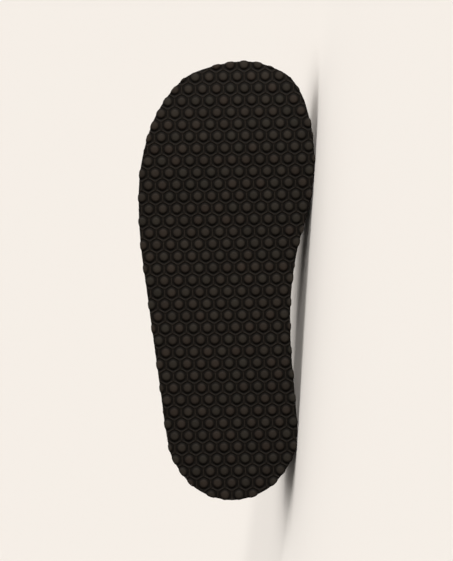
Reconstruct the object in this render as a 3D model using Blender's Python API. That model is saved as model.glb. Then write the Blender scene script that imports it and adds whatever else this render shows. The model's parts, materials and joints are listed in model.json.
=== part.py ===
"""Wool slipper for the right foot: a felt upper and a felt insole on a studded rubber outsole.

The shoe's own frame has +X from heel to toe, +Y to the inner side of the foot and +Z up from the tread.
Last of all the shoe is laid on its inner side, with the sole's edge and the upper on the plane z = 0.
"""

import math
from collections import namedtuple

import bmesh
import bpy
import numpy as np
from mathutils import Matrix, Vector, geometry

MM = 0.001
GAP = 0.3 * MM
CURVE_STEPS = 24
SHARP_ANGLE = math.radians(35)
MERGE_DISTANCE = 1e-9

# Driving sizes
SOLE_LENGTH = 265.0 * MM
BALL_WIDTH = 105.0 * MM
INSTEP_HEIGHT = 71.0 * MM
HEEL_HEIGHT = 59.0 * MM
FELT_WALL = 4.0 * MM
INSOLE_THICKNESS = 5.0 * MM
SHEET_THICKNESS = 3.6 * MM
STUD_HEIGHT = 1.2 * MM

# Outsole: one rubber sheet with studs in staggered rows across the foot
SHEET_CHAMFER = 0.7 * MM
TOE_SPRING = 6.0 * MM
SPRING_START = 0.74
STUD_PITCH = 8.44 * MM
STUD_ROW_PITCH = 7.2 * MM
STUD_ROW_TILT = math.radians(1.2)
STUD_ORIGIN = (133.0 * MM, 2.7 * MM)
STUD_FOOT_RADIUS = 3.0 * MM
STUD_TOP_RADIUS = 2.5 * MM
STUD_SIDES = 6
STUD_EDGE_MARGIN = 0.5 * MM
SOLE_POINTS = 96

# Sole outline: station is a share of the length from the heel, and inner and outer are
# shares of the ball width, from the shoe's axis out to the edge on each side
SoleRow = namedtuple("SoleRow", "station inner outer")
HEEL_TIP = SoleRow(0.0, 0.012, -0.012)
SOLE_ROWS = (
    SoleRow(0.025, 0.214, 0.190),
    SoleRow(0.090, 0.352, 0.324),
    SoleRow(0.155, 0.386, 0.367),
    SoleRow(0.250, 0.371, 0.400),
    SoleRow(0.360, 0.350, 0.438),
    SoleRow(0.470, 0.352, 0.476),
    SoleRow(0.570, 0.388, 0.510),
    SoleRow(0.650, 0.443, 0.524),
    SoleRow(0.730, 0.479, 0.521),
    SoleRow(0.800, 0.484, 0.492),
    SoleRow(0.870, 0.457, 0.433),
    SoleRow(0.930, 0.405, 0.338),
    SoleRow(0.975, 0.305, 0.200),
)
TOE_TIP = SoleRow(1.0, 0.081, -0.081)

# Upper: one felt wall on the last, open at the collar and underneath
DECK = STUD_HEIGHT + SHEET_THICKNESS + GAP
FEATHER_INSET = 2.0 * MM
SIDE_STATIONS = 36
WALL_LEVELS = 9

# Collar from the back of the heel to the throat: height is a share of the instep height over the
# tread. COLLAR_CROWDING brings the wall's lines together round the throat.
CollarRow = namedtuple("CollarRow", "station inner outer height")
COLLAR_CROWDING = 1.8
COLLAR_BACK = CollarRow(0.022, 0.012, -0.012, HEEL_HEIGHT / INSTEP_HEIGHT)
COLLAR_ROWS = (
    CollarRow(0.05, 0.181, 0.167, 0.817),
    CollarRow(0.13, 0.305, 0.295, 0.775),
    CollarRow(0.24, 0.319, 0.338, 0.725),
    CollarRow(0.35, 0.300, 0.348, 0.711),
    CollarRow(0.45, 0.267, 0.314, 0.761),
    CollarRow(0.52, 0.205, 0.233, 0.852),
    CollarRow(0.56, 0.119, 0.133, 0.951),
)
THROAT = CollarRow(0.578, 0.005, -0.005, 1.0)

# The wall's curve from the sole joint to the collar, by share of the way round from heel to toe. In
# shares of the instep height, wall is how far its foot stands upright, swell how far it bows out over
# the sole and drop how far its upper end comes down. lead is the share of the way in of that upper end.
WallRow = namedtuple("WallRow", "station wall swell lead drop")
WALL_ROWS = (
    WallRow(0.00, 0.366, 0.046, 0.10, 0.254),
    WallRow(0.18, 0.366, 0.044, 0.15, 0.225),
    WallRow(0.38, 0.380, 0.070, 0.30, 0.197),
    WallRow(0.58, 0.563, 0.113, 0.48, 0.141),
    WallRow(0.78, 0.648, 0.113, 0.56, 0.254),
    WallRow(1.00, 0.620, 0.070, 0.56, 0.408),
)

# Insole: a felt sheet inside the wall
INSOLE_CHAMFER = 0.8 * MM
INSOLE_POINTS = 72

# Finishes, with densities in kilograms to the cubic metre
Finish = namedtuple("Finish", "name colour roughness density")
RUBBER = Finish("black_rubber", (0.022, 0.019, 0.016), 0.6, 1200.0)
UPPER_FELT = Finish("grey_wool_felt", (0.16, 0.155, 0.15), 0.95, 300.0)
INSOLE_FELT = Finish("pale_wool_felt", (0.42, 0.39, 0.35), 0.95, 300.0)

# A face that the shoe can lie on looks this near to straight inwards
INNER_SIDE_CONE = math.radians(40)


def smooth(rows, column, station):
    """A table's column at a station, on a smooth curve through its rows."""
    stations = [row.station for row in rows]
    values = [getattr(row, column) for row in rows]
    slopes = np.gradient(values, stations)
    span = min(max(np.searchsorted(stations, station) - 1, 0), len(rows) - 2)
    width = stations[span + 1] - stations[span]
    rise = values[span + 1] - values[span]
    start, end = slopes[span] * width, slopes[span + 1] * width
    share = (station - stations[span]) / width
    bend = (3 * rise - 2 * start - end) * share**2 + (start + end - 2 * rise) * share**3
    return values[span] + start * share + bend


def closed_curve(knots):
    """Close points on a smooth closed curve through the knots, starting at the first."""
    points = []
    for i in range(len(knots)):
        before, start, end, after = (knots[(i + step) % len(knots)] for step in (-1, 0, 1, 2))
        for share in np.arange(CURVE_STEPS) / CURVE_STEPS:
            turn = (2 * before - 5 * start + 4 * end - after) * share**2
            ease = (3 * start - before - 3 * end + after) * share**3
            points.append(start + ((end - before) * share + turn + ease) / 2)
    return np.array(points)


def sole_outline():
    """The sole's edge in plan, from the heel's tip up the inner side to the toe and down the outer side."""
    inner = [(row.station * SOLE_LENGTH, row.inner * BALL_WIDTH) for row in (HEEL_TIP, *SOLE_ROWS, TOE_TIP)]
    outer = [(row.station * SOLE_LENGTH, -row.outer * BALL_WIDTH) for row in reversed(SOLE_ROWS)]
    return closed_curve(np.array([*inner, *outer]))


def collar_line():
    """The collar's outer edge, from the back of the heel up the inner side to the throat and back."""
    sides = [
        (row.station * SOLE_LENGTH, row.inner * BALL_WIDTH, row.height * INSTEP_HEIGHT)
        for row in (COLLAR_BACK, *COLLAR_ROWS, THROAT)
    ]
    sides += [
        (row.station * SOLE_LENGTH, -row.outer * BALL_WIDTH, row.height * INSTEP_HEIGHT)
        for row in reversed(COLLAR_ROWS)
    ]
    return closed_curve(np.array(sides))


def two_sides(loop):
    """The inner and the outer half of such a closed line, each from back to front."""
    half = len(loop) // 2
    return loop[: half + 1], np.vstack([loop[half:], loop[:1]])[::-1]


def along(line, share):
    """The point at that share of a line's length."""
    lengths = np.concatenate([[0.0], np.cumsum(np.linalg.norm(np.diff(line, axis=0), axis=1))])
    return np.array([np.interp(share * lengths[-1], lengths, axis) for axis in line.T])


def even_loop(loop, count):
    """count points at even distances round a closed line."""
    closed = np.vstack([loop, loop[:1]])
    return np.array([along(closed, share) for share in np.arange(count) / count])


def inset(loop, distance):
    """A closed line moved inwards. It runs up the inner side and down the outer side."""
    tangent = np.roll(loop, -1, axis=0) - np.roll(loop, 1, axis=0)
    tangent /= np.linalg.norm(tangent, axis=1)[:, None]
    inward = np.column_stack([tangent[:, 1], -tangent[:, 0]])
    return loop + inward * distance


def edge_distance(point, loop):
    """How far inside a closed line a point lies, below zero outside it."""
    ends = np.roll(loop, -1, axis=0)
    span = ends - loop
    share = np.clip(((point - loop) * span).sum(1) / (span**2).sum(1), 0.0, 1.0)
    distance = np.linalg.norm(loop + share[:, None] * span - point, axis=1).min()
    crosses = (loop[:, 1] > point[1]) != (ends[:, 1] > point[1])
    reach = loop[crosses, 0] + (point[1] - loop[crosses, 1]) / span[crosses, 1] * span[crosses, 0]
    return distance if (reach > point[0]).sum() % 2 else -distance


def toe_lift(x):
    """How far the sole's toe end curves up from the floor at x."""
    share = max(0.0, x / SOLE_LENGTH - SPRING_START) / (1.0 - SPRING_START)
    return TOE_SPRING * share**2


def lifted(points, height):
    """Plan points as vertices at a height over the tread plane, bent up with the toe."""
    return [Vector((x, y, height + toe_lift(x))) for x, y in points]


def fill(loops):
    """Triangles of point numbers inside the first loop and outside the others, numbered loop by loop."""
    points, edges, owner = [], [], []
    for number, loop in enumerate(loops):
        first = len(points)
        points += [Vector(point) for point in loop]
        edges += [(first + i, first + (i + 1) % len(loop)) for i in range(len(loop))]
        owner += [number] * len(loop)
    inside_edges = 1
    made = geometry.delaunay_2d_cdt(points, edges, [], inside_edges, MERGE_DISTANCE)
    source = [origins[0] for origins in made[3]]
    triangles = [[source[i] for i in face] for face in made[2]]
    return [t for t in triangles if not owner[t[0]] == owner[t[1]] == owner[t[2]] > 0]


def ring(bm, lower, upper):
    """Quads between two closed rows of as many vertices."""
    for i in range(len(lower)):
        j = (i + 1) % len(lower)
        bm.faces.new((lower[i], lower[j], upper[j], upper[i]))


def shoe_material(finish):
    material = bpy.data.materials.new(finish.name)
    material.use_nodes = True
    shader = material.node_tree.nodes["Principled BSDF"]
    shader.inputs["Base Color"].default_value = (*finish.colour, 1.0)
    shader.inputs["Roughness"].default_value = finish.roughness
    shader.inputs["Metallic"].default_value = 0.0
    return material


def shoe_object(name, bm, finish, pose):
    """An object of the shoe from a bmesh, with its faces pointing out, carried by the pose."""
    bmesh.ops.recalc_face_normals(bm, faces=bm.faces)
    mesh = bpy.data.meshes.new(name)
    bm.to_mesh(mesh)
    bm.free()
    mesh.shade_smooth()
    mesh.set_sharp_from_angle(angle=SHARP_ANGLE)
    mesh.materials.append(shoe_material(finish))
    obj = bpy.data.objects.new(name, mesh)
    bpy.context.scene.collection.objects.link(obj)
    obj.parent = pose
    return obj


def stud_centres(outline):
    """Centres of the studs that lie whole on the sheet, every second row shifted by half a pitch."""
    tilt = STUD_ROW_TILT
    along_row = np.array([math.sin(tilt), math.cos(tilt)]) * STUD_PITCH
    next_row = np.array([math.cos(tilt), -math.sin(tilt)]) * STUD_ROW_PITCH
    reach = math.ceil(SOLE_LENGTH / STUD_ROW_PITCH)
    room = STUD_FOOT_RADIUS + SHEET_CHAMFER + STUD_EDGE_MARGIN
    centres = []
    for row in range(-reach, reach + 1):
        for column in range(-reach, reach + 1):
            centre = np.array(STUD_ORIGIN) + row * next_row + (column + row % 2 / 2) * along_row
            if edge_distance(centre, outline) > room:
                centres.append(centre)
    return centres


def stud_loop(centre, radius):
    """A stud's outline, with a corner towards the toe."""
    angles = STUD_ROW_TILT + 2 * math.pi * np.arange(STUD_SIDES) / STUD_SIDES
    return centre + radius * np.column_stack([np.cos(angles), -np.sin(angles)])


def build_outsole(outline, pose):
    """The rubber sheet cut to the outline, with a chamfered lower edge and its studs."""
    edge = even_loop(outline, SOLE_POINTS)
    foot = inset(edge, SHEET_CHAMFER)
    centres = stud_centres(outline)
    feet = [stud_loop(centre, STUD_FOOT_RADIUS) for centre in centres]
    bm = bmesh.new()
    upper_row = [bm.verts.new(v) for v in lifted(edge, STUD_HEIGHT + SHEET_THICKNESS)]
    lower_row = [bm.verts.new(v) for v in lifted(edge, STUD_HEIGHT + SHEET_CHAMFER)]
    foot_row = [bm.verts.new(v) for v in lifted(foot, STUD_HEIGHT)]
    ring(bm, lower_row, upper_row)
    ring(bm, foot_row, lower_row)
    for triangle in fill([edge]):
        bm.faces.new([upper_row[i] for i in triangle])
    under = list(foot_row)
    for centre, loop in zip(centres, feet):
        base = [bm.verts.new(v) for v in lifted(loop, STUD_HEIGHT)]
        tip = [bm.verts.new(v) for v in lifted(stud_loop(centre, STUD_TOP_RADIUS), 0.0)]
        ring(bm, tip, base)
        bm.faces.new(tip)
        under += base
    for triangle in fill([foot, *feet]):
        bm.faces.new([under[i] for i in triangle])
    return shoe_object("outsole", bm, RUBBER, pose)


def build_insole(outline, pose):
    """The felt footbed, cut to fit inside the wall, with a chamfered upper edge."""
    edge = inset(even_loop(outline, INSOLE_POINTS), FEATHER_INSET + FELT_WALL + 2 * GAP)
    crown = inset(edge, INSOLE_CHAMFER)
    top = DECK + INSOLE_THICKNESS
    bm = bmesh.new()
    rows = [
        [bm.verts.new(v) for v in lifted(loop, height)]
        for loop, height in ((edge, DECK), (edge, top - INSOLE_CHAMFER), (crown, top))
    ]
    ring(bm, rows[0], rows[1])
    ring(bm, rows[1], rows[2])
    for row, loop in ((rows[0], edge), (rows[2], crown)):
        for triangle in fill([loop]):
            bm.faces.new([row[i] for i in triangle])
    return shoe_object("insole", bm, INSOLE_FELT, pose)


def wall_line(edge, collar, share):
    """Points of the felt's outer face from the sole joint up and over to the collar."""
    foot = along(edge, share)
    rim = along(collar, COLLAR_CROWDING * share / (1 + (COLLAR_CROWDING - 1) * share))
    wall, swell, drop = (smooth(WALL_ROWS, name, share) * INSTEP_HEIGHT for name in ("wall", "swell", "drop"))
    up = np.array([0.0, 0.0, 1.0])
    start = np.array([*foot, DECK + toe_lift(foot[0])])
    inward = (rim - start) * (1 - up)
    upright = start + wall * up - swell * inward / np.linalg.norm(inward)
    level = rim - drop * up - smooth(WALL_ROWS, "lead", share) * inward
    points = []
    for t in np.linspace(0.0, 1.0, WALL_LEVELS + 1):
        lower_half = start * (1 - t) ** 3 + upright * 3 * (1 - t) ** 2 * t
        points.append(Vector(lower_half + level * 3 * (1 - t) * t**2 + rim * t**3))
    return points


def build_upper(outline, pose):
    """The felt wall: lines all round from the sole joint to the collar, thickened inwards."""
    edges = two_sides(inset(outline, FEATHER_INSET))
    collars = two_sides(collar_line())
    shares = np.linspace(0.0, 1.0, SIDE_STATIONS + 1)
    inner = [wall_line(edges[0], collars[0], share) for share in shares]
    outer = [wall_line(edges[1], collars[1], share) for share in shares[-2:0:-1]]
    bm = bmesh.new()
    rows = [[bm.verts.new(point) for point in level] for level in zip(*inner, *outer)]
    for lower, upper in zip(rows, rows[1:]):
        ring(bm, lower, upper)
    obj = shoe_object("upper", bm, UPPER_FELT, pose)
    felt = obj.modifiers.new("felt_wall", "SOLIDIFY")
    felt.thickness = FELT_WALL
    felt.offset = -1.0
    felt.use_even_offset = True
    felt.use_quality_normals = True
    return obj


def solid_points(obj):
    """The object's vertices with its modifiers, in the shoe's frame, and its triangles."""
    bpy.context.view_layer.update()
    evaluated = obj.evaluated_get(bpy.context.evaluated_depsgraph_get())
    mesh = evaluated.to_mesh()
    mesh.calc_loop_triangles()
    points = np.array([vertex.co for vertex in mesh.vertices])
    triangles = np.array([triangle.vertices for triangle in mesh.loop_triangles])
    evaluated.to_mesh_clear()
    return points, triangles


def centre_of_mass(solids):
    """The centre of mass of (points, triangles, density) solids."""
    mass, moment = 0.0, np.zeros(3)
    for points, triangles, density in solids:
        corners = points[triangles]
        masses = np.linalg.det(corners) / 6 * density
        mass += masses.sum()
        moment += (masses[:, None] * corners.sum(axis=1) / 4).sum(axis=0)
    return moment / mass


def hull_faces(points):
    """The corners of each triangle of the points' convex hull."""
    bm = bmesh.new()
    for point in points:
        bm.verts.new(point)
    bmesh.ops.convex_hull(bm, input=bm.verts)
    bmesh.ops.triangulate(bm, faces=bm.faces)
    faces = [np.array([vertex.co for vertex in face.verts]) for face in bm.faces]
    bm.free()
    return faces


def resting_normal(points, centre):
    """The outward normal of the hull face on the inner side that the centre of mass stands over."""
    for corners in hull_faces(points):
        normal = np.cross(corners[1] - corners[0], corners[2] - corners[0])
        depth = normal @ (corners[0] - centre)
        normal *= np.sign(depth) / np.linalg.norm(normal)
        if normal[1] < math.cos(INNER_SIDE_CONE):
            continue
        foot = centre + normal * (normal @ (corners[0] - centre))
        ahead = np.roll(corners, -1, axis=0)
        turns = np.cross(ahead - corners, foot - corners) @ normal
        if turns.min() >= 0 or turns.max() <= 0:
            return Vector(normal)
    raise ValueError("no face on the inner side to lie on")


def lay_on_inner_side(pose, solids):
    """Turns the pose so that the shoe rests on its inner side, centred over the origin, toe to +X."""
    points = np.vstack([points for points, _, _ in solids])
    up = -resting_normal(points, centre_of_mass(solids))
    forward = Vector((1.0, 0.0, 0.0))
    forward = (forward - up * forward.dot(up)).normalized()
    turn = Matrix((forward, up.cross(forward), up))
    placed = points @ np.array(turn).T
    low, high = placed.min(axis=0), placed.max(axis=0)
    centre = (low + high) / 2
    pose.matrix_world = Matrix.Translation((-centre[0], -centre[1], -low[2])) @ turn.to_4x4()


def main():
    for obj in list(bpy.data.objects):
        bpy.data.objects.remove(obj)
    pose = bpy.data.objects.new("shoe_pose", None)
    bpy.context.scene.collection.objects.link(pose)
    outline = sole_outline()
    outsole = build_outsole(outline, pose)
    insole = build_insole(outline, pose)
    upper = build_upper(outline, pose)
    finishes = ((outsole, RUBBER), (insole, INSOLE_FELT), (upper, UPPER_FELT))
    lay_on_inner_side(pose, [(*solid_points(obj), finish.density) for obj, finish in finishes])


main()
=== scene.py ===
"""Looks of the wool slipper: its studded rubber sole, felt upper and felt insole, on a plain pale floor.

Shapes are worked out in the shoe's own frame, in metres: +X from heel to toe, +Y to the inner side of the
foot, +Z up from the tread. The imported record's two tread mounts say where that frame lies.
"""

import json
import math
from collections import namedtuple

import bpy
import numpy as np
from mathutils import Matrix, Vector, geometry, noise


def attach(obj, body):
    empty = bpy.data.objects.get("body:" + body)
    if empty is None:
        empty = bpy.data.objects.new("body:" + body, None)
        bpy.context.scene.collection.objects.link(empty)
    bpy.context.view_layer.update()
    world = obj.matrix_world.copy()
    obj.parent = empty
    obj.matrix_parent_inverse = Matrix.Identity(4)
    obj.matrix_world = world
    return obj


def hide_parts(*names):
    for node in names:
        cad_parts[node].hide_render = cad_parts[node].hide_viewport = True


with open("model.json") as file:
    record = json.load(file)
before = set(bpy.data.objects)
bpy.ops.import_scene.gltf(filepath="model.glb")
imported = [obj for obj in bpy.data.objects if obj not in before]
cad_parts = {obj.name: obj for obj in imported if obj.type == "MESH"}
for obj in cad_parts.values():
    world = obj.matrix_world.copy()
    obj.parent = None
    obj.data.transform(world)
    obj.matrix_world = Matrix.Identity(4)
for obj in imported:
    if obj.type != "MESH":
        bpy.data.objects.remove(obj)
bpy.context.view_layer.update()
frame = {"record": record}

MM = 0.001

# Driving sizes of the shoe
SOLE_LENGTH = 265.0 * MM
BALL_WIDTH = 105.0 * MM
INSTEP_HEIGHT = 71.0 * MM
HEEL_HEIGHT = 59.0 * MM
FELT_WALL = 4.0 * MM
INSOLE_THICKNESS = 5.0 * MM
SHEET_THICKNESS = 3.6 * MM
STUD_HEIGHT = 1.2 * MM
DECK = STUD_HEIGHT + SHEET_THICKNESS
FEATHER_INSET = 2.0 * MM
TOE_SPRING = 6.0 * MM
SPRING_START = 0.74

# Sole outline: station is a share of the length from the heel, inner and outer are shares of the ball width
SoleRow = namedtuple("SoleRow", "station inner outer")
HEEL_TIP = SoleRow(0.0, 0.012, -0.012)
SOLE_ROWS = (
    SoleRow(0.025, 0.214, 0.190),
    SoleRow(0.090, 0.352, 0.324),
    SoleRow(0.155, 0.386, 0.367),
    SoleRow(0.250, 0.371, 0.400),
    SoleRow(0.360, 0.350, 0.438),
    SoleRow(0.470, 0.352, 0.476),
    SoleRow(0.570, 0.388, 0.510),
    SoleRow(0.650, 0.443, 0.524),
    SoleRow(0.730, 0.479, 0.521),
    SoleRow(0.800, 0.484, 0.492),
    SoleRow(0.870, 0.457, 0.433),
    SoleRow(0.930, 0.405, 0.338),
    SoleRow(0.975, 0.305, 0.200),
)
TOE_TIP = SoleRow(1.0, 0.081, -0.081)

# Collar from the back of the heel to the throat: height is a share of the instep height. COLLAR_CROWDING
# lets the collar's points run ahead of the sole's.
CollarRow = namedtuple("CollarRow", "station inner outer height")
COLLAR_CROWDING = 1.8
COLLAR_BACK = CollarRow(0.022, 0.012, -0.012, HEEL_HEIGHT / INSTEP_HEIGHT)
COLLAR_ROWS = (
    CollarRow(0.05, 0.181, 0.167, 0.817),
    CollarRow(0.13, 0.305, 0.295, 0.775),
    CollarRow(0.24, 0.319, 0.338, 0.725),
    CollarRow(0.35, 0.300, 0.348, 0.711),
    CollarRow(0.45, 0.267, 0.314, 0.761),
    CollarRow(0.52, 0.205, 0.233, 0.852),
    CollarRow(0.56, 0.119, 0.133, 0.951),
)
THROAT = CollarRow(0.578, 0.005, -0.005, 1.0)

# The wall's curve from the sole joint to the collar, by share of the way round from heel to toe. wall,
# swell and drop are shares of the instep height, lead is a share of the way in to the collar.
WallRow = namedtuple("WallRow", "station wall swell lead drop")
WALL_ROWS = (
    WallRow(0.00, 0.366, 0.046, 0.10, 0.254),
    WallRow(0.18, 0.366, 0.044, 0.15, 0.225),
    WallRow(0.38, 0.380, 0.070, 0.30, 0.197),
    WallRow(0.58, 0.563, 0.113, 0.48, 0.141),
    WallRow(0.78, 0.648, 0.113, 0.56, 0.254),
    WallRow(1.00, 0.620, 0.070, 0.56, 0.408),
)

# Tread: round studs in staggered rows, each in a six-sided pocket between low ridges. radius is from a
# stud's middle, inset from its pocket's border and depth from the tread plane, in millimetres.
STUD_PITCH = 8.44 * MM
STUD_ROW_PITCH = 7.2 * MM
STUD_ROW_TILT = math.radians(1.2)
STUD_ORIGIN = np.array([133.0, 2.7]) * MM
POINTS_PER_SIDE = 3
StudRow = namedtuple("StudRow", "radius depth")
STUD_ROWS = (
    StudRow(0.00, 0.00),
    StudRow(1.00, 0.02),
    StudRow(1.60, 0.08),
    StudRow(2.04, 0.20),
    StudRow(2.37, 0.42),
    StudRow(2.64, 0.74),
    StudRow(2.87, 1.06),
    StudRow(3.12, 1.25),
)
RidgeRow = namedtuple("RidgeRow", "inset depth")
RIDGE_ROWS = (
    RidgeRow(0.00, 0.82),
    RidgeRow(0.12, 0.85),
    RidgeRow(0.27, 1.01),
    RidgeRow(0.44, 1.18),
    RidgeRow(0.64, 1.25),
)
GROOVE_DEPTH = STUD_ROWS[-1].depth * MM
POCKET_ROUND = 0.12 * MM
CREST_SHADE = 0.04

# Uneven colour of the rubber, as shares of it: each stud's lightness and tint, and painted shade that
# darkens the heel
STUD_LIGHTNESS = 0.09
STUD_TINT = (0.06, -0.02, -0.03)
HEEL_SHADE = 0.14
TINT_SEED = 7

# Cut edge of the sole: EDGE_LOOPS are millimetres inside it, EDGE_SIDE are shares of its height
EDGE_STEP = 0.5 * MM
EDGE_ROUND = 0.6 * MM
EDGE_LOOPS = (0.0, 0.1, 0.3, 0.6)
EDGE_CLEARANCE = 0.22 * MM
SCALLOP = 0.75 * MM
SCALLOP_WINDOW = 7
SCALLOP_AT_DECK = 0.3
EDGE_SIDE = (0.2, 0.6, 0.94)
DECK_CHAMFER = 0.25 * MM
CUT_EDGE_SHADE = 0.45

# Mounts on the tread, as row and column of their studs
MOUNT_STUDS = {"tread_heel": (-13, -1), "tread_forefoot": (7, -1)}

# Fineness of curves and meshes. INSIDE_ONLY is the kind of triangulation that stays inside its loop.
CURVE_STEPS = 24
DISTANCE_BATCH = 2000
POINT_DIGITS = 7
MERGE_DISTANCE = 1e-8
INSIDE_ONLY = 1
SOLE_SHARP_ANGLE = math.radians(50)
FELT_SHARP_ANGLE = math.radians(60)


def smooth(rows, column, stations):
    """A table's column at the stations, on a smooth curve through its rows."""
    known = np.array([row.station for row in rows])
    values = np.array([getattr(row, column) for row in rows])
    slopes = np.gradient(values, known)
    span = np.clip(np.searchsorted(known, stations) - 1, 0, len(rows) - 2)
    width = known[span + 1] - known[span]
    rise = values[span + 1] - values[span]
    start, end = slopes[span] * width, slopes[span + 1] * width
    share = (stations - known[span]) / width
    bend = (3 * rise - 2 * start - end) * share**2 + (start + end - 2 * rise) * share**3
    return values[span] + start * share + bend


def closed_curve(knots):
    """Close points on a smooth closed curve through the knots, starting at the first."""
    share = (np.arange(CURVE_STEPS) / CURVE_STEPS)[:, None]
    neighbours = (np.roll(knots, step, axis=0) for step in (1, 0, -1, -2))
    points = []
    for before, here, after, beyond in zip(*neighbours):
        slope = (after - before) * share
        bend = (2 * before - 5 * here + 4 * after - beyond) * share**2
        twist = (3 * here - before - 3 * after + beyond) * share**3
        points.append(here + (slope + bend + twist) / 2)
    return np.vstack(points)


def sole_outline():
    """The sole's edge in plan, from the heel's tip up the inner side to the toe and down the outer side."""
    up = (HEEL_TIP, *SOLE_ROWS, TOE_TIP)
    inner = [(row.station * SOLE_LENGTH, row.inner * BALL_WIDTH) for row in up]
    outer = [(row.station * SOLE_LENGTH, -row.outer * BALL_WIDTH) for row in reversed(SOLE_ROWS)]
    return closed_curve(np.array([*inner, *outer]))


def collar_line():
    """The collar's outer edge, from the back of the heel up the inner side to the throat and back."""
    size = np.array([SOLE_LENGTH, BALL_WIDTH, INSTEP_HEIGHT])
    up = (COLLAR_BACK, *COLLAR_ROWS, THROAT)
    inner = [(row.station, row.inner, row.height) for row in up]
    outer = [(row.station, -row.outer, row.height) for row in reversed(COLLAR_ROWS)]
    return closed_curve(np.array([*inner, *outer]) * size)


def two_sides(loop):
    """The inner and the outer half of such a closed line, each from back to front."""
    half = len(loop) // 2
    return loop[: half + 1], np.vstack([loop[half:], loop[:1]])[::-1]


def along(line, shares):
    """The points at those shares of a line's length."""
    lengths = np.concatenate([[0.0], np.cumsum(np.linalg.norm(np.diff(line, axis=0), axis=1))])
    places = shares * lengths[-1]
    return np.column_stack([np.interp(places, lengths, axis) for axis in line.T])


def even_loop(loop, count):
    """count points at even distances round a closed line."""
    return along(np.vstack([loop, loop[:1]]), np.arange(count) / count)


def inward_of(loop):
    """Unit vectors to the inside of a closed plan line that runs up the inner side."""
    tangent = np.roll(loop, -1, axis=0) - np.roll(loop, 1, axis=0)
    tangent /= np.linalg.norm(tangent, axis=1)[:, None]
    return np.column_stack([tangent[:, 1], -tangent[:, 0]])


def inset(loop, distance):
    """A closed plan line moved inwards."""
    return loop + inward_of(loop) * distance


def edge_distance(points, loop):
    """How far inside a closed line each point lies, below zero outside it."""
    ends = np.roll(loop, -1, axis=0)
    span = ends - loop
    found = []
    for batch in np.array_split(points, len(points) // DISTANCE_BATCH + 1):
        offset = batch[:, None] - loop
        share = np.clip((offset * span).sum(2) / (span**2).sum(1), 0.0, 1.0)
        distance = np.linalg.norm(offset - share[..., None] * span, axis=2).min(axis=1)
        crosses = (loop[:, 1] > batch[:, 1:]) != (ends[:, 1] > batch[:, 1:])
        level = np.where(span[:, 1] == 0, 1.0, span[:, 1])
        reach = loop[:, 0] + (batch[:, 1:] - loop[:, 1]) / level * span[:, 0]
        inside = (crosses & (reach > batch[:, :1])).sum(axis=1) % 2 == 1
        found.append(np.where(inside, distance, -distance))
    return np.concatenate(found)


def toe_lift(x):
    """How far the sole's toe end curves up at x."""
    share = np.maximum(0.0, x / SOLE_LENGTH - SPRING_START) / (1.0 - SPRING_START)
    return TOE_SPRING * share**2


def lifted(plan, height):
    """Plan points at a height over the tread plane, bent up with the toe."""
    return np.column_stack([plan, height + toe_lift(plan[:, 0])])


# Stud lattice

ALONG_ROW = np.array([math.sin(STUD_ROW_TILT), math.cos(STUD_ROW_TILT)]) * STUD_PITCH
NEXT_ROW = np.array([math.cos(STUD_ROW_TILT), -math.sin(STUD_ROW_TILT)]) * STUD_ROW_PITCH
HALF_NEIGHBOURS = np.array([ALONG_ROW, NEXT_ROW + ALONG_ROW / 2, NEXT_ROW - ALONG_ROW / 2])
NEIGHBOURS = np.vstack([HALF_NEIGHBOURS, -HALF_NEIGHBOURS])
LATTICE_ROWS = range(-21, 22)
LATTICE_COLUMNS = range(-10, 11)


def stud_centre(row, column):
    """Plan points of the studs' middles. Every second row stands half a pitch to the side."""
    shift = (column + np.mod(row, 2) / 2)[..., None]
    return STUD_ORIGIN + np.asarray(row)[..., None] * NEXT_ROW + shift * ALONG_ROW


def nearest_stud(points):
    """Row and column of the stud cell that each plan point lies in."""
    offset = points - STUD_ORIGIN
    row = offset @ NEXT_ROW / STUD_ROW_PITCH**2
    column = offset @ ALONG_ROW / STUD_PITCH**2
    rows = np.array([np.floor(row), np.ceil(row)])
    columns = np.round(column - np.mod(rows, 2) / 2)
    distance = np.linalg.norm(points - stud_centre(rows, columns), axis=2)
    nearer = distance[1] < distance[0]
    row = np.where(nearer, rows[1], rows[0])
    column = np.where(nearer, columns[1], columns[0])
    return row.astype(int), column.astype(int)


def tread_profile(points):
    """Depths of the stud and of the ridge at plan points, in millimetres. The shallower is the surface."""
    offset = points - stud_centre(*nearest_stud(points))
    radius = np.linalg.norm(offset, axis=1)
    reach = np.linalg.norm(NEIGHBOURS, axis=1)
    sides = reach / 2 - offset @ (NEIGHBOURS / reach[:, None]).T
    border = -POCKET_ROUND * np.log(np.exp(-sides / POCKET_ROUND).sum(axis=1))
    stud = np.interp(radius / MM, [row.radius for row in STUD_ROWS], [row.depth for row in STUD_ROWS])
    ridge = np.interp(border / MM, [row.inset for row in RIDGE_ROWS], [row.depth for row in RIDGE_ROWS])
    return stud, ridge


def tread_depth(points):
    """How far studs, pockets and ridges lie above the tread plane at plan points, in metres."""
    return np.minimum(*tread_profile(points)) * MM


def tread_shade(points):
    """Painted shade: 0 on the stud tops, CREST_SHADE on the ridges and 1 in the pockets between."""
    stud, ridge = tread_profile(points)
    crest, groove = RIDGE_ROWS[0].depth, RIDGE_ROWS[-1].depth
    fall = (ridge - crest) / (groove - crest)
    return np.minimum(stud / groove, CREST_SHADE + (1 - CREST_SHADE) * fall)


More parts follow.
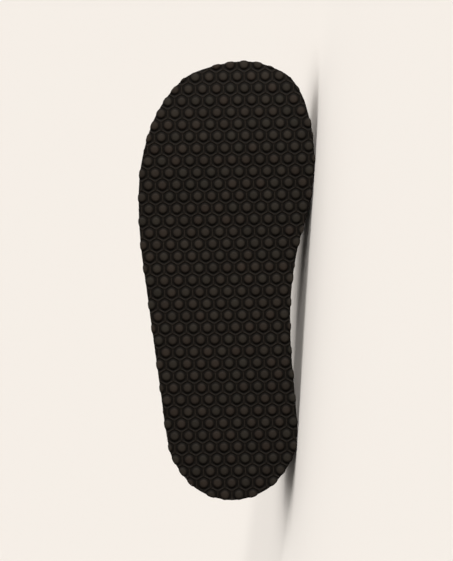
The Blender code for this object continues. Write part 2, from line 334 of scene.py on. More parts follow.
def cell_points():
    """Points of one stud cell round its centre: rings over the stud, then six-sided loops up the ridge."""
    order = np.argsort(np.arctan2(NEIGHBOURS[:, 1], NEIGHBOURS[:, 0]))
    ways = NEIGHBOURS[order]
    corners = []
    for way, following in zip(ways, np.roll(ways, -1, axis=0)):
        halves = [way @ way / 2, following @ following / 2]
        corners.append(np.linalg.solve(np.array([way, following]), halves))
    corners = np.array(corners)
    border = np.vstack(
        [
            start + (end - start) * step / POINTS_PER_SIDE
            for start, end in zip(corners, np.roll(corners, -1, axis=0))
            for step in range(POINTS_PER_SIDE)
        ]
    )
    ways = border / np.linalg.norm(border, axis=1)[:, None]
    rings = [np.zeros((1, 2))] + [ways * row.radius * MM for row in STUD_ROWS[1:]]
    rings += [border * (1 - 2 * row.inset * MM / STUD_PITCH) for row in RIDGE_ROWS]
    return np.vstack(rings)


# Where the shoe lies

def shoe_pose():
    """The matrix from the shoe's own frame to the world, from the record's mounts on two stud tops."""
    mounts = {mount["name"]: mount for mount in frame["record"]["mounts"]}
    heel, ball = (Vector(mounts[name]["pos_m"]) for name in MOUNT_STUDS)
    plan = [stud_centre(np.array(row), np.array(column)) for row, column in MOUNT_STUDS.values()]
    turn = math.atan2(*(plan[1] - plan[0])[::-1])
    up = -Vector(mounts["tread_heel"]["axis"]).normalized()
    ahead = (ball - heel).normalized()
    forward = (ahead * math.cos(turn) - up.cross(ahead) * math.sin(turn)).normalized()
    inner = up.cross(forward)
    matrix = Matrix((forward, inner, up)).transposed().to_4x4()
    matrix.translation = heel - forward * plan[0][0] - inner * plan[0][1]
    return matrix


POSE = shoe_pose()


def to_world(points):
    """Points of the shoe's own frame where the shoe lies."""
    pose = np.array(POSE)
    return points @ pose[:3, :3].T + pose[:3, 3]


def make_piece(name, points, faces, node, material, sharp_angle):
    """An object from points in the shoe's own frame. It stands for the CAD node, where one is named."""
    mesh = bpy.data.meshes.new(name)
    mesh.from_pydata(to_world(points).tolist(), [], faces)
    mesh.validate()
    mesh.shade_smooth()
    mesh.set_sharp_from_angle(angle=sharp_angle)
    mesh.materials.append(material)
    piece = bpy.data.objects.new(name, mesh)
    bpy.context.scene.collection.objects.link(piece)
    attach(piece, "root")
    if node:
        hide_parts(node)
    return piece


def point_values(piece, name, values):
    """Gives each point of a piece a number that its material reads by name."""
    layer = piece.data.attributes.new(name, "FLOAT", "POINT")
    layer.data.foreach_set("value", values.astype(np.float32))


def point_colours(piece, name, colours):
    """Gives each point of a piece a colour that its material reads by name."""
    layer = piece.data.attributes.new(name, "FLOAT_COLOR", "POINT")
    opaque = np.column_stack([colours, np.ones(len(colours))])
    layer.data.foreach_set("color", opaque.astype(np.float32).ravel())


def ring_faces(lower, upper):
    """Quads between two closed rows of point numbers that run up the inner side, facing out of the loop."""
    return [(lower[i], lower[i - 1], upper[i - 1], upper[i]) for i in range(len(lower))]


def fill(points, loop_length, upwards):
    """Triangles over plan points inside the closed line that the first loop_length of them make."""
    places = [Vector(place) for place in points.tolist()]
    edges = [((i - 1) % loop_length, i) for i in range(loop_length)]
    made = geometry.delaunay_2d_cdt(places, edges, [], INSIDE_ONLY, MERGE_DISTANCE)
    _, _, triangles, origins, _, _ = made
    faces = [tuple(origins[i][0] for i in triangle) for triangle in triangles]
    corner, *others = points[list(faces[0])]
    (ahead, left), (far_ahead, far_left) = (other - corner for other in others)
    is_up = ahead * far_left - left * far_ahead > 0
    return faces if is_up == upwards else [face[::-1] for face in faces]


# Sole

def edge_scallop(outline):
    """How far the cut edge stands out where it passes through a stud, and in between studs."""
    depth = tread_depth(inset(outline, EDGE_ROUND)) / GROOVE_DEPTH
    kernel = np.hanning(SCALLOP_WINDOW)
    kernel /= kernel.sum()
    reach = SCALLOP_WINDOW // 2
    wrapped = np.concatenate([depth[-reach:], depth, depth[:reach]])
    return SCALLOP * (0.5 - np.convolve(wrapped, kernel, mode="valid"))


def stud_tint_and_heel_shade(points):
    """Colour factors at plan points: each stud a tone of its own, and painted shade darkening the heel."""
    row, column = nearest_stud(points)
    rng = np.random.default_rng(TINT_SEED)
    spread = rng.uniform(-1.0, 1.0, (2, len(LATTICE_ROWS), len(LATTICE_COLUMNS)))
    lightness, tint = spread[:, row - LATTICE_ROWS.start, column - LATTICE_COLUMNS.start]
    on_stud = np.linalg.norm(points - stud_centre(row, column), axis=1) < STUD_ROWS[-1].radius * MM
    # Painted shade: darker towards the heel
    heel = HEEL_SHADE * np.clip(1 - 2 * points[:, 0] / SOLE_LENGTH, 0.0, 1.0)
    factors = 1 + (lightness * STUD_LIGHTNESS)[:, None] + tint[:, None] * STUD_TINT
    return np.where(on_stud[:, None], factors, 1.0) * (1 - heel)[:, None]


def tread_points(outline):
    """Plan points of the stud cells that lie inside the outline, clear of the rounded edge."""
    row, column = (grid.ravel() for grid in np.meshgrid(LATTICE_ROWS, LATTICE_COLUMNS))
    centres = stud_centre(row, column)
    cell = cell_points()
    size = np.linalg.norm(cell, axis=1).max()
    room = edge_distance(centres, outline)
    least = EDGE_ROUND + EDGE_CLEARANCE
    whole = (centres[room > size + least][:, None] + cell).reshape(-1, 2)
    part = (centres[(room > -size) & (room <= size + least)][:, None] + cell).reshape(-1, 2)
    part = part[edge_distance(part, outline) > least]
    return np.unique(np.round(np.vstack([whole, part]), POINT_DIGITS), axis=0)


def rounded_edge(outline, inward, scallop):
    """Plan loops over the tread's rounded edge, and how far the rounding raises each of them."""
    loops, rises = [], []
    for distance in np.array(EDGE_LOOPS) * MM:
        loops.append(outline + inward * (distance - scallop * (1 - distance / EDGE_ROUND)))
        rises.append(EDGE_ROUND - math.sqrt(EDGE_ROUND**2 - (EDGE_ROUND - distance) ** 2))
    return loops, rises


def build_sole(material):
    """The rubber sole: tread, rounded edge, cut side and deck, as one closed mesh."""
    outline = sole_outline()
    length = np.linalg.norm(np.diff(outline, axis=0), axis=1).sum()
    count = round(length / EDGE_STEP)
    outline = even_loop(outline, count)
    inward = inward_of(outline)
    scallop = edge_scallop(outline)[:, None]
    loops, rises = rounded_edge(outline, inward, scallop)
    plan = np.vstack([*loops, tread_points(outline)])
    depth = tread_depth(plan)
    depth[: len(loops) * count] += np.repeat(rises, count)
    edge_depth = depth[:count]
    points = [lifted(plan, depth)]
    faces = fill(plan, count, False)
    row, first = np.arange(count), len(plan)
    sides = [(share, 0.0) for share in EDGE_SIDE] + [(1.0, DECK_CHAMFER)]
    for share, back in sides:
        edge = outline + inward * (back - scallop * (1 - share * (1 - SCALLOP_AT_DECK)))
        points.append(lifted(edge, edge_depth + (DECK - edge_depth) * share))
        following = np.arange(first, first + count)
        faces += ring_faces(row, following)
        row, first = following, first + count
    faces += [tuple(row[list(face)]) for face in fill(edge, count, True)]
    faces = [tuple(int(i) for i in face) for face in faces]
    points = np.vstack(points)
    piece = make_piece("rubber_sole", points, faces, "outsole", material, SOLE_SHARP_ANGLE)
    # Painted shade for the rubber's colour: deeper down the stud flanks and in the pockets, one fixed share
    # on the cut side
    shade = np.concatenate([tread_shade(plan), np.full(len(sides) * count, CUT_EDGE_SHADE)])
    point_values(piece, "tread_shade", shade)
    point_colours(piece, "stud_tint_and_heel_shade", stud_tint_and_heel_shade(points[:, :2]))


# Felt upper

# Columns of points along each side, levels up the outer face, every INNER_STEP-th of them on the inner
# face, and steps over the rounded rim, which takes the place of the last RIM_OVERLAP levels
SIDE_COLUMNS = 300
WALL_LEVELS = 80
INNER_STEP = 2
RIM_STEPS = 9
RIM_LIP = 2.0 * MM
RIM_OVERLAP = 2
RIM_ROW = WALL_LEVELS + 1 - RIM_OVERLAP + RIM_STEPS // 2
FLOOR_GAP = 0.02 * MM

# Soft lumps of the felt: how wide and how high in millimetres. They fade out within FELT_START of an edge.
Lump = namedtuple("Lump", "size height")
FELT_LUMPS = (Lump(38.0, 0.9), Lump(13.0, 0.42), Lump(5.5, 0.18), Lump(2.6, 0.12))
FELT_START = 4.0 * MM

# Flex folds over the vamp. station is where a fold crosses the vamp's middle, as a share of the length.
# skew leads it forward on the inner side, bow leads it back on both sides, and side makes it deeper on the
# inner side. depth and width are in millimetres.
VampFold = namedtuple("VampFold", "station skew bow depth width side")
VAMP_FOLDS = (
    VampFold(0.632, 0.30, 2.0, 1.0, 3.3, 0.75),
    VampFold(0.690, -0.10, 2.7, 1.9, 3.8, -0.20),
    VampFold(0.742, -0.45, 3.2, 1.3, 3.4, -0.60),
    VampFold(0.764, 0.35, 3.4, 1.3, 3.2, 0.80),
    VampFold(0.824, -0.10, 3.6, 0.7, 3.2, 0.40),
)
VAMP_FOLD_LEAD = BALL_WIDTH / 4
VAMP_FOLD_FLOOR = 0.22
VAMP_FOLD_FULL = 0.50

# Folds of the sides and the back. side is 1 on the inner side of the foot and -1 on the outer, station and
# height place a fold's middle, lean is how far it tips forward, reach is its half length in instep heights.
SideFold = namedtuple("SideFold", "side station height lean reach depth width")
SIDE_FOLDS = (
    SideFold(1, 0.125, 0.44, 0.50, 0.36, 2.0, 3.4),
    SideFold(1, 0.200, 0.40, 0.75, 0.30, 1.4, 3.2),
    SideFold(1, 0.430, 0.36, -0.90, 0.34, 1.5, 3.6),
    SideFold(1, 0.560, 0.40, -0.80, 0.36, 1.8, 3.8),
    SideFold(-1, 0.110, 0.42, 0.45, 0.36, 1.9, 3.4),
    SideFold(-1, 0.185, 0.38, 0.80, 0.30, 1.6, 3.2),
    SideFold(-1, 0.460, 0.38, -0.85, 0.34, 1.4, 3.6),
    SideFold(-1, 0.590, 0.42, -0.75, 0.36, 1.9, 3.8),
)
FOLD_RIDGE = 0.55
FOLD_RIDGE_PLACE = 2.0


def bezier(start, first, second, end, steps):
    """Rows of points on the curves that leave start towards first and reach end from second."""
    share = np.linspace(0.0, 1.0, steps + 1)[:, None]
    rest = 1 - share
    leaving = start[:, None] * rest**3 + first[:, None] * 3 * rest**2 * share
    return leaving + second[:, None] * 3 * rest * share**2 + end[:, None] * share**3


def wall_grid():
    """Points of the felt's outer face, by column round the shoe and level from sole joint to collar."""
    outline = inset(sole_outline(), FEATHER_INSET)
    shares = np.linspace(0.0, 1.0, SIDE_COLUMNS + 1)
    sides = []
    for edge, collar in zip(two_sides(outline), two_sides(collar_line())):
        foot = along(edge, shares)
        rim = along(collar, COLLAR_CROWDING * shares / (1 + (COLLAR_CROWDING - 1) * shares))
        start = lifted(foot, DECK)
        inward = (rim - start) * (1.0, 1.0, 0.0)
        outward = -inward / np.linalg.norm(inward, axis=1)[:, None]
        wall, swell, drop = (
            smooth(WALL_ROWS, name, shares)[:, None] * INSTEP_HEIGHT for name in ("wall", "swell", "drop")
        )
        upright = start + wall * (0.0, 0.0, 1.0) + swell * outward
        level = rim - drop * (0.0, 0.0, 1.0) - smooth(WALL_ROWS, "lead", shares)[:, None] * inward
        sides.append(bezier(start, upright, level, rim, WALL_LEVELS))
    return np.vstack([sides[0], sides[1][-2:0:-1]])


def grid_normals(grid):
    """Unit normals out of the wall, by column and level."""
    round_way = np.roll(grid, -1, axis=0) - np.roll(grid, 1, axis=0)
    up_way = np.gradient(grid, axis=1)
    normal = np.cross(up_way, round_way)
    return normal / np.linalg.norm(normal, axis=2)[..., None]


def ease(values, low, high):
    """0 below low, 1 above high and a smooth rise between."""
    share = np.clip((values - low) / (high - low), 0.0, 1.0)
    return share * share * (3 - 2 * share)


def fold_profile(distance):
    """Height across a fold, in its depths: a trough with low ridges beside it. distance is in widths."""
    trough = np.exp(-(distance**2) / 2)
    ridges = np.exp(-((np.abs(distance) - FOLD_RIDGE_PLACE) ** 2) / 2)
    return FOLD_RIDGE * ridges - trough


def vamp_fold(fold, x, y, z):
    """How far a fold over the vamp moves the felt out, in metres."""
    across = y / BALL_WIDTH
    line = fold.station * SOLE_LENGTH + (fold.skew * across - fold.bow * across**2) * VAMP_FOLD_LEAD
    fade = ease(z / INSTEP_HEIGHT, VAMP_FOLD_FLOOR, VAMP_FOLD_FULL) * (1 + fold.side * 2 * across)
    return fold_profile((x - line) / (fold.width * MM)) * fade * fold.depth * MM


def side_fold(fold, x, y, z):
    """How far a fold on one side moves the felt out, in metres."""
    ahead = x - fold.station * SOLE_LENGTH
    above = z - fold.height * INSTEP_HEIGHT
    length = math.hypot(1.0, fold.lean)
    distance = (ahead - fold.lean * above) / length
    along_fold = (above + fold.lean * ahead) / length / (fold.reach * INSTEP_HEIGHT)
    fade = np.clip(1 - along_fold**2, 0.0, 1.0) ** 2 * (np.sign(y) == fold.side)
    return fold_profile(distance / (fold.width * MM)) * fade * fold.depth * MM


def fold_height(points):
    """How far all the folds move the felt out of its plain face, in metres."""
    place = np.moveaxis(points, -1, 0)
    moves = [vamp_fold(fold, *place) for fold in VAMP_FOLDS]
    moves += [side_fold(fold, *place) for fold in SIDE_FOLDS]
    return sum(moves)


def felt_lumps(points, lumps):
    """Uneven thickness of hand felt at points, in metres."""
    flat = points.reshape(-1, 3) / MM
    total = np.zeros(len(flat))
    for lump in lumps:
        values = [noise.noise(Vector(place)) for place in (flat / lump.size).tolist()]
        total += np.array(values) * lump.height * MM
    return total.reshape(points.shape[:-1])


def felt_grid():
    """The felt's points by column and row: up the outer face, over the rim and down the inner face."""
    plain = wall_grid()
    normal = grid_normals(plain)
    above_deck = plain[..., 2] - DECK - toe_lift(plain[..., 0])
    moved = (felt_lumps(plain, FELT_LUMPS) + fold_height(plain)) * ease(above_deck, 0.0, FELT_START)
    outer = plain + normal * moved[..., None]
    inner = outer - normal * FELT_WALL
    up_way = outer[:, -1] - outer[:, -RIM_OVERLAP]
    up_way /= np.linalg.norm(up_way, axis=1)[:, None]
    middle = (outer[:, -1] + inner[:, -1]) / 2 - up_way * RIM_LIP
    turns = np.linspace(0.0, math.pi, RIM_STEPS)[:, None]
    across = normal[:, -1:] * np.cos(turns) * FELT_WALL / 2
    rim = middle[:, None] + across + up_way[:, None] * np.sin(turns) * RIM_LIP
    inside = inner[:, -RIM_OVERLAP - 1 :: -INNER_STEP]
    return np.concatenate([outer[:, :-RIM_OVERLAP], rim, inside], axis=1)


def on_floor(points):
    """The points, with those below the floor brought up to it."""
    world = to_world(points)
    rise = np.maximum(0.0, FLOOR_GAP - world[:, 2])
    return points + np.outer(rise, np.array(POSE)[2, :3])


def build_upper(grid, material):
    """The felt wall, as one closed mesh round the foot, lighter where the collar is worn."""
    columns, rows = grid.shape[:2]
    numbers = np.arange(columns * rows).reshape(columns, rows).T.tolist()
    faces = []
    for lower, upper in zip(numbers, numbers[1:] + numbers[:1]):
        faces += ring_faces(lower, upper)
    points = on_floor(grid.reshape(-1, 3))
    piece = make_piece("felt_upper", points, faces, "upper", material, FELT_SHARP_ANGLE)
    from_rim = np.abs(np.arange(rows) - RIM_ROW)
    point_values(piece, "wear_and_shade", np.tile(1 - ease(from_rim, RIM_STEPS / 2, RIM_STEPS), columns))


# Loose wool fibres on the felt. FIBRE_RISE and FIBRE_SAG are shares of a fibre's length.

FIBRE_SEED = 11
FIBRE_SIDES = 3
FIBRE_LENGTH = (1.5 * MM, 4.6 * MM)
FIBRE_RADIUS = 0.06 * MM
FIBRE_TAPER = 0.8
FIBRE_ROOT = 0.3 * MM
FIBRE_RISE = (0.10, 0.65)
FIBRE_SAG = 0.35

# How many fibres grow between which rows of the felt
FibreBand = namedtuple("FibreBand", "count first last")
FIBRE_BANDS = (
    FibreBand(16000, 4, WALL_LEVELS - RIM_OVERLAP),
    FibreBand(3000, WALL_LEVELS - RIM_OVERLAP, RIM_ROW + RIM_STEPS),
)


def fibre_faces(count):
    """Faces of fibres whose points are a ring at the root, a ring halfway and a tip."""
    pattern = [tuple(range(FIBRE_SIDES))[::-1]]
    for i in range(FIBRE_SIDES):
        j = (i + 1) % FIBRE_SIDES
        pattern.append((i, j, FIBRE_SIDES + j, FIBRE_SIDES + i))
        pattern.append((FIBRE_SIDES + i, FIBRE_SIDES + j, 2 * FIBRE_SIDES))
    size = 2 * FIBRE_SIDES + 1
    return [tuple(first + i for i in face) for first in range(0, count * size, size) for face in pattern]


def wool_fibres(name, root, out, rng, material):
    """Short curved fibres that stand out of the felt at their roots, as one mesh."""
    way = rng.normal(size=out.shape)
    way -= (way * out).sum(axis=1)[:, None] * out
    way /= np.linalg.norm(way, axis=1)[:, None]
    length = rng.uniform(*FIBRE_LENGTH, len(root))[:, None]
    rise = rng.uniform(*FIBRE_RISE, len(root))[:, None]
    start = root - out * FIBRE_ROOT
    middle = root + (way + out * rise) * length / 2
    tip = root + (way + out * (rise - FIBRE_SAG)) * length
    across = np.cross(out, way)
    rings = []
    for centre, radius in ((start, FIBRE_RADIUS), (middle, FIBRE_RADIUS * FIBRE_TAPER)):
        for turn in np.arange(FIBRE_SIDES) * 2 * math.pi / FIBRE_SIDES:
            rings.append(centre + (across * math.cos(turn) + out * math.sin(turn)) * radius)
    fibres = np.stack([*rings, tip], axis=1)
    heights = to_world(fibres.reshape(-1, 3))[:, 2].reshape(fibres.shape[:2])
    fibres = fibres[(heights > FLOOR_GAP).all(axis=1)]
    faces = fibre_faces(len(fibres))
    piece = make_piece(name, fibres.reshape(-1, 3), faces, None, material, FELT_SHARP_ANGLE)
    point_values(piece, "wool_tone", np.repeat(rng.random(len(fibres)), fibres.shape[1]))


def build_upper_fibres(grid, material):
    """Fibres on the upper's outer face and collar."""
    rng = np.random.default_rng(FIBRE_SEED)
    row = np.concatenate([rng.integers(band.first, band.last, band.count) for band in FIBRE_BANDS])
    column = rng.integers(0, len(grid), len(row))
    share = rng.random((2, len(row), 1))
    here = grid[column, row]
    beside = grid[(column + 1) % len(grid), row] - here
    above = grid[column, row + 1] - here
    root = here + beside * share[0] + above * share[1]
    wool_fibres("felt_fibres", root, grid_normals(grid)[column, row], rng, material)


# Felt insole

INSOLE_COLUMNS = 260
INSOLE_GAP = 0.15 * MM
INSOLE_GRID = 1.1 * MM
INSOLE_LUMPS = (Lump(22.0, 0.30), Lump(7.0, 0.20), Lump(2.6, 0.14))
INSOLE_FIBRES = 9000
INSOLE_FIBRE_ROOM = 2.0 * MM
INSOLE_FIBRE_SEED = 12

# The insole's side from bottom to top: inset in millimetres, and height as a share of its thickness
InsoleRow = namedtuple("InsoleRow", "inset share")
INSOLE_PROFILE = (
    InsoleRow(0.00, 0.00),
    InsoleRow(0.00, 0.72),
    InsoleRow(0.25, 0.88),
    InsoleRow(0.80, 0.97),
    InsoleRow(1.60, 1.00),
)

# Dents that a foot has pressed into the felt. Places and half sizes are shares of the sole's length and
# of the ball width, depth is in millimetres.
Dent = namedtuple("Dent", "station inner half_length half_width depth")
FOOT_DENTS = (
    Dent(0.135, 0.00, 0.105, 0.26, 0.9),
    Dent(0.690, 0.17, 0.085, 0.22, 0.8),
    Dent(0.640, -0.22, 0.120, 0.20, 0.6),
    Dent(0.895, 0.19, 0.050, 0.11, 0.7),
    Dent(0.885, 0.00, 0.040, 0.08, 0.4),
    Dent(0.860, -0.13, 0.038, 0.08, 0.4),
    Dent(0.820, -0.25, 0.036, 0.08, 0.4),
)


def foot_print(plan):
    """How far a foot has pressed the insole down at plan points, in metres."""
    depth = np.zeros(len(plan))
    for dent in FOOT_DENTS:
        ahead = (plan[:, 0] / SOLE_LENGTH - dent.station) / dent.half_length
        beside = (plan[:, 1] / BALL_WIDTH - dent.inner) / dent.half_width
        depth += dent.depth * MM * np.exp(-(ahead**2 + beside**2) ** 2)
    return depth


def insole_edge():
    """The insole's edge in plan, just inside the felt wall."""
    edge = inset(even_loop(sole_outline(), INSOLE_COLUMNS), FEATHER_INSET + FELT_WALL + INSOLE_GAP)
    return even_loop(edge, INSOLE_COLUMNS)


def insole_crown():
    """The edge in plan of the insole's trodden face."""
    return inset(insole_edge(), INSOLE_PROFILE[-1].inset * MM)


def insole_top(plan, room):
    """Points of the insole's trodden face over plan points, which lie that far inside its edge."""
    top = lifted(plan, DECK + INSOLE_THICKNESS)
    top[:, 2] += (felt_lumps(top, INSOLE_LUMPS) - foot_print(plan)) * ease(room, 0.0, FELT_START)
    return top


def build_insole(material):
    """The felt footbed: bottom, side and trodden face, as one closed mesh."""
    edge, crown = insole_edge(), insole_crown()
    points, faces = [], []
    row, first = None, 0
    for level in INSOLE_PROFILE:
        points.append(lifted(inset(edge, level.inset * MM), DECK + INSOLE_THICKNESS * level.share))
        following = list(range(first, first + len(edge)))
        if row:
            faces += ring_faces(row, following)
        row, first = following, first + len(edge)
    steps = (np.arange(low, high, INSOLE_GRID) for low, high in zip(crown.min(axis=0), crown.max(axis=0)))
    inside = np.column_stack([axis.ravel() for axis in np.meshgrid(*steps)])
    room = edge_distance(inside, crown)
    inside, room = inside[room > INSOLE_GRID / 2], room[room > INSOLE_GRID / 2]
    points.append(insole_top(inside, room))
    numbers = row + list(range(first, first + len(inside)))
    top = fill(np.vstack([crown, inside]), len(edge), True)
    faces += [tuple(numbers[i] for i in face) for face in top]
    faces += fill(edge, len(edge), False)
    points = np.vstack(points)
    make_piece("felt_insole", points, faces, "insole", material, FELT_SHARP_ANGLE)


def build_insole_fibres(material):
    """Fibres on the insole's trodden face."""
    crown = insole_crown()
    rng = np.random.default_rng(INSOLE_FIBRE_SEED)
    plan = rng.uniform(crown.min(axis=0), crown.max(axis=0), (INSOLE_FIBRES, 2))
    room = edge_distance(plan, crown)
    inside = room > INSOLE_FIBRE_ROOM
    root = insole_top(plan[inside], room[inside])
    out = np.tile((0.0, 0.0, 1.0), (len(root), 1))
    wool_fibres("insole_fibres", root, out, rng, material)


# Materials

# Colour sockets of a Mix node by number, because its other kinds of socket have the same names
MIX_FIRST, MIX_SECOND, MIX_RESULT = 6, 7, 2

# Colour stops, each a position and a colour. The rubber's stops are painted shade that darkens with the
# depth of the tread, loose wool goes by fibre, WORN_WOOL by wear, and the rest by noise.
RUBBER_DEPTH_SHADE = (
    (0.00, (0.0152, 0.0118, 0.0087)),
    (0.12, (0.0120, 0.0092, 0.0068)),
    (0.35, (0.0092, 0.0070, 0.0051)),
    (0.70, (0.0045, 0.0033, 0.0023)),
    (1.00, (0.0027, 0.0020, 0.0013)),
)
RUBBER_DUST = ((0.35, (0.9, 0.9, 0.9)), (0.65, (1.1, 1.1, 1.1)))
RUBBER_GLOSS = ((0.3, (0.55, 0.55, 0.55)), (0.7, (0.72, 0.72, 0.72)))
GREY_WOOL = ((0.30, (0.045, 0.043, 0.042)), (0.5, (0.14, 0.135, 0.13)), (0.70, (0.33, 0.32, 0.305)))
PALE_WOOL = ((0.30, (0.27, 0.245, 0.215)), (0.5, (0.43, 0.40, 0.355)), (0.70, (0.60, 0.57, 0.52)))
WORN_WOOL = ((0.0, (1.0, 1.0, 1.0)), (1.0, (1.25, 1.24, 1.22)))
WOOL_PATCHES = ((0.35, (0.86, 0.86, 0.86)), (0.65, (1.1, 1.1, 1.1)))
LOOSE_GREY_WOOL = ((0.0, (0.05, 0.048, 0.046)), (0.45, (0.17, 0.165, 0.16)), (1.0, (0.62, 0.60, 0.57)))
LOOSE_PALE_WOOL = ((0.0, (0.17, 0.15, 0.125)), (0.45, (0.42, 0.39, 0.345)), (1.0, (0.82, 0.79, 0.74)))

# Noises, with scale as repeats in a millimetre
Noise = namedtuple("Noise", "scale detail roughness distortion")
DUST_NOISE = Noise(0.09, 4.0, 0.6, 0.3)
GRAIN_NOISE = Noise(2.5, 5.0, 0.6, 0.0)
FIBRE_NOISE = Noise(0.9, 6.0, 0.75, 2.4)
HEATHER_NOISE = Noise(0.4, 5.0, 0.7, 3.0)
PATCH_NOISE = Noise(0.1, 4.0, 0.62, 0.8)
NAP_NOISE = Noise(1.6, 6.0, 0.7, 1.8)
TUFT_NOISE = Noise(0.42, 4.0, 0.6, 1.2)
HEATHER_SHARE = 0.45

Bump = namedtuple("Bump", "strength distance")
GRAIN_BUMP = Bump(0.25, 0.05 * MM)
TUFT_BUMP = Bump(0.55, 0.6 * MM)
NAP_BUMP = Bump(0.7, 0.3 * MM)

# Shader settings that are the same all over a material
RUBBER_FINISH = {"Specular IOR Level": 0.05}
FELT_FINISH = {"Roughness": 0.95, "Specular IOR Level": 0.1, "Sheen Weight": 0.25, "Sheen Roughness": 0.6}
FIBRE_FINISH = {"Roughness": 0.85, "Specular IOR Level": 0.2}
FLOOR_FINISH = {"Roughness": 0.9, "Specular IOR Level": 0.0}


def new_material(name, finish):
    """A material with its node tree and its shader, which gets the finish's settings."""
    material = bpy.data.materials.new(name)
    material.use_nodes = True
    tree = material.node_tree
    shader = tree.nodes["Principled BSDF"]
    for socket, value in finish.items():
        shader.inputs[socket].default_value = value
    return material, tree, shader


def add_node(tree, kind, **values):
    """A node with its inputs set by name, and its own settings where no input has that name."""
    node = tree.nodes.new(kind)
    for name, value in values.items():
        socket = name.replace("_", " ").title()
        if socket in node.inputs:
            node.inputs[socket].default_value = value
        else:
            setattr(node, name, value)
    return node


def object_millimetres(tree):
    """Object coordinates in millimetres."""
    place = tree.nodes.new("ShaderNodeTexCoord")
    scaled = add_node(tree, "ShaderNodeVectorMath", operation="SCALE")
    scaled.inputs["Scale"].default_value = 1 / MM
    tree.links.new(place.outputs["Object"], scaled.inputs[0])
    return scaled.outputs[0]


def attribute_of(tree, name, output):
    return add_node(tree, "ShaderNodeAttribute", attribute_name=name).outputs[output]


def noise_of(tree, place, kind):
    node = add_node(tree, "ShaderNodeTexNoise", **kind._asdict())
    tree.links.new(place, node.inputs["Vector"])
    return node.outputs["Fac"]


def ramp_of(tree, value, stops):
    """A colour ramp with (position, colour) stops."""
    node = tree.nodes.new("ShaderNodeValToRGB")
    for position, _ in stops[1:-1]:
        node.color_ramp.elements.new(position)
    for element, (position, colour) in zip(node.color_ramp.elements, stops):
        element.position = position
        element.color = (*colour, 1.0)
    tree.links.new(value, node.inputs["Fac"])
    return node.outputs["Color"]


def bump_of(tree, height, kind, below=None):
    """A bump from a height, on top of the one below where that is given."""
    node = add_node(tree, "ShaderNodeBump", **kind._asdict())
    tree.links.new(height, node.inputs["Height"])
    if below is not None:
        tree.links.new(below, node.inputs["Normal"])
    return node.outputs["Normal"]


def mix_of(tree, kind, factor, first, second):
    """Two colours mixed, by MIX or by MULTIPLY."""
    node = add_node(tree, "ShaderNodeMix", data_type="RGBA", blend_type=kind)
    node.inputs["Factor"].default_value = factor
    tree.links.new(first, node.inputs[MIX_FIRST])
    tree.links.new(second, node.inputs[MIX_SECOND])
    return node.outputs[MIX_RESULT]


def multiply_of(tree, first, second):
    return mix_of(tree, "MULTIPLY", 1.0, first, second)


def rubber_material():
    """Black rubber: painted shade down the stud flanks and in the pockets, a tint for each stud, painted
    shade towards the heel, faint dust and a fine grain.
    """
    material, tree, shader = new_material("black_rubber", RUBBER_FINISH)
    place = object_millimetres(tree)
    # Painted shade: the colour darkens down the stud flanks and into the pockets, by tread_shade
    wear_and_shade = ramp_of(tree, attribute_of(tree, "tread_shade", "Fac"), RUBBER_DEPTH_SHADE)
    # The tint attribute also holds painted shade that darkens the heel
    tinted = multiply_of(tree, wear_and_shade, attribute_of(tree, "stud_tint_and_heel_shade", "Color"))
    dust = ramp_of(tree, noise_of(tree, place, DUST_NOISE), RUBBER_DUST)
    tree.links.new(multiply_of(tree, tinted, dust), shader.inputs["Base Color"])
    grain = noise_of(tree, place, GRAIN_NOISE)
    tree.links.new(bump_of(tree, grain, GRAIN_BUMP), shader.inputs["Normal"])
    tree.links.new(ramp_of(tree, grain, RUBBER_GLOSS), shader.inputs["Roughness"])
    return material


def felt_material(name, stops):
    """Wool felt: mottled fibres and heather in paler and darker patches, worn edges, nap and tufts."""
    material, tree, shader = new_material(name, FELT_FINISH)
    place = object_millimetres(tree)
    fibres = ramp_of(tree, noise_of(tree, place, FIBRE_NOISE), stops)
    heather = ramp_of(tree, noise_of(tree, place, HEATHER_NOISE), stops)
    patches = ramp_of(tree, noise_of(tree, place, PATCH_NOISE), WOOL_PATCHES)
    colour = multiply_of(tree, mix_of(tree, "MIX", HEATHER_SHARE, fibres, heather), patches)
    wear_and_shade = ramp_of(tree, attribute_of(tree, "wear_and_shade", "Fac"), WORN_WOOL)
    tree.links.new(multiply_of(tree, colour, wear_and_shade), shader.inputs["Base Color"])
    tufts = bump_of(tree, noise_of(tree, place, TUFT_NOISE), TUFT_BUMP)
    nap = bump_of(tree, noise_of(tree, place, NAP_NOISE), NAP_BUMP, tufts)
    tree.links.new(nap, shader.inputs["Normal"])
    return material


def fibre_material(name, stops):
    """Loose wool, with a tone for each fibre."""
    material, tree, shader = new_material(name, FIBRE_FINISH)
    tone = ramp_of(tree, attribute_of(tree, "wool_tone", "Fac"), stops)
    tree.links.new(tone, shader.inputs["Base Color"])
    return material


# Floor, light and camera

FLOOR_HALF = 9.0
FLOOR_COLOUR = (0.826, 0.777, 0.724, 1.0)

# Lens and sensor in millimetres, how far the camera sees in metres, and the sole's share of the height
LENS = 300.0
SENSOR = 36.0
CAMERA_REACH = 50.0
SOLE_SHARE_OF_PICTURE = 0.785

# The sky's colours from behind the heel to beyond the toe
SKY_COLOURS = ((0.0, (0.08, 0.079, 0.078)), (1.0, (0.80, 0.792, 0.781)))

# Lights as directions from the shoe: towards its toe, out of its tread and up from the floor
Lamp = namedtuple("Lamp", "name toe tread up strength angle")
LAMPS = (
    Lamp("key", 0.80, 0.58, -0.045, 5.6, math.radians(10)),
    Lamp("top", 0.15, 0.25, 0.95, 1.35, math.radians(60)),
    Lamp("back", 0.30, -0.62, 0.70, 0.6, math.radians(70)),
)


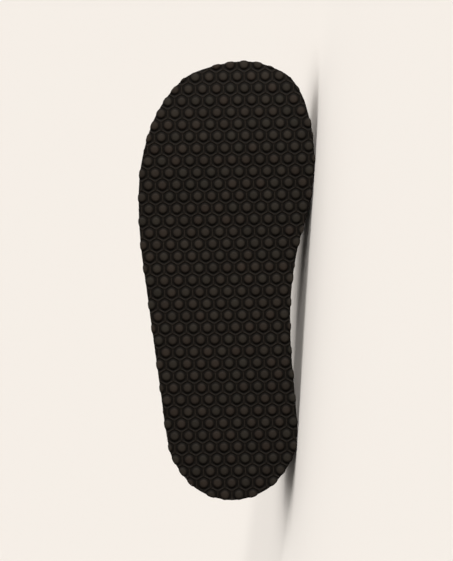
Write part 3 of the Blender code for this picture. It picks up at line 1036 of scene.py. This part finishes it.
def build_floor():
    """A plain pale floor, much wider than the picture."""
    mesh = bpy.data.meshes.new("floor")
    corners = [(x * FLOOR_HALF, y * FLOOR_HALF, 0.0) for x, y in ((-1, -1), (1, -1), (1, 1), (-1, 1))]
    mesh.from_pydata(corners, [], [(0, 1, 2, 3)])
    material, _, shader = new_material("pale_floor", FLOOR_FINISH)
    shader.inputs["Base Color"].default_value = FLOOR_COLOUR
    mesh.materials.append(material)
    floor = bpy.data.objects.new("floor", mesh)
    bpy.context.scene.collection.objects.link(floor)


def build_sky():
    """A soft sky that is dark behind the heel and pale beyond the toe."""
    world = bpy.data.worlds.new("studio")
    world.use_nodes = True
    bpy.context.scene.world = world
    toe = POSE.to_3x3().col[0]
    tree = world.node_tree
    place = tree.nodes.new("ShaderNodeTexCoord")
    ahead = add_node(tree, "ShaderNodeVectorMath", operation="DOT_PRODUCT")
    ahead.inputs[1].default_value = toe
    share = tree.nodes.new("ShaderNodeMapRange")
    share.inputs["From Min"].default_value = -1.0
    tree.links.new(place.outputs["Generated"], ahead.inputs[0])
    tree.links.new(ahead.outputs["Value"], share.inputs["Value"])
    sky = ramp_of(tree, share.outputs["Result"], SKY_COLOURS)
    tree.links.new(sky, tree.nodes["Background"].inputs["Color"])


def build_lamps():
    """The suns of LAMPS, turned with the shoe."""
    toe, _, up = POSE.to_3x3().transposed()
    for row in LAMPS:
        lamp = bpy.data.lights.new(row.name, "SUN")
        lamp.energy = row.strength
        lamp.angle = row.angle
        sun = bpy.data.objects.new(row.name, lamp)
        bpy.context.scene.collection.objects.link(sun)
        towards = toe * row.toe - up * row.tread + Vector((0.0, 0.0, row.up))
        sun.rotation_mode = "QUATERNION"
        sun.rotation_quaternion = towards.to_track_quat("Z", "Y")


def build_camera():
    """A camera straight below the tread, with the toe up in the picture."""
    scene = bpy.context.scene
    scene.view_settings.view_transform = "Standard"
    toe, inner, up = POSE.to_3x3().transposed()
    lens = bpy.data.cameras.new("camera")
    lens.lens = LENS
    lens.sensor_width = SENSOR
    lens.clip_end = CAMERA_REACH
    camera = bpy.data.objects.new("camera", lens)
    scene.collection.objects.link(camera)
    outline = sole_outline()
    centre = (outline.min(axis=0) + outline.max(axis=0)) / 2
    middle = POSE @ Vector((*centre, 0.0))
    distance = SOLE_LENGTH / SOLE_SHARE_OF_PICTURE * LENS / SENSOR
    matrix = Matrix((inner, toe, -up)).transposed().to_4x4()
    matrix.translation = middle - up * distance
    camera.matrix_world = matrix
    scene.camera = camera


def main():
    build_sole(rubber_material())
    grid = felt_grid()
    build_upper(grid, felt_material("grey_wool_felt", GREY_WOOL))
    build_upper_fibres(grid, fibre_material("loose_grey_wool", LOOSE_GREY_WOOL))
    build_insole(felt_material("pale_wool_felt", PALE_WOOL))
    build_insole_fibres(fibre_material("loose_pale_wool", LOOSE_PALE_WOOL))
    build_floor()
    build_sky()
    build_lamps()
    build_camera()


main()
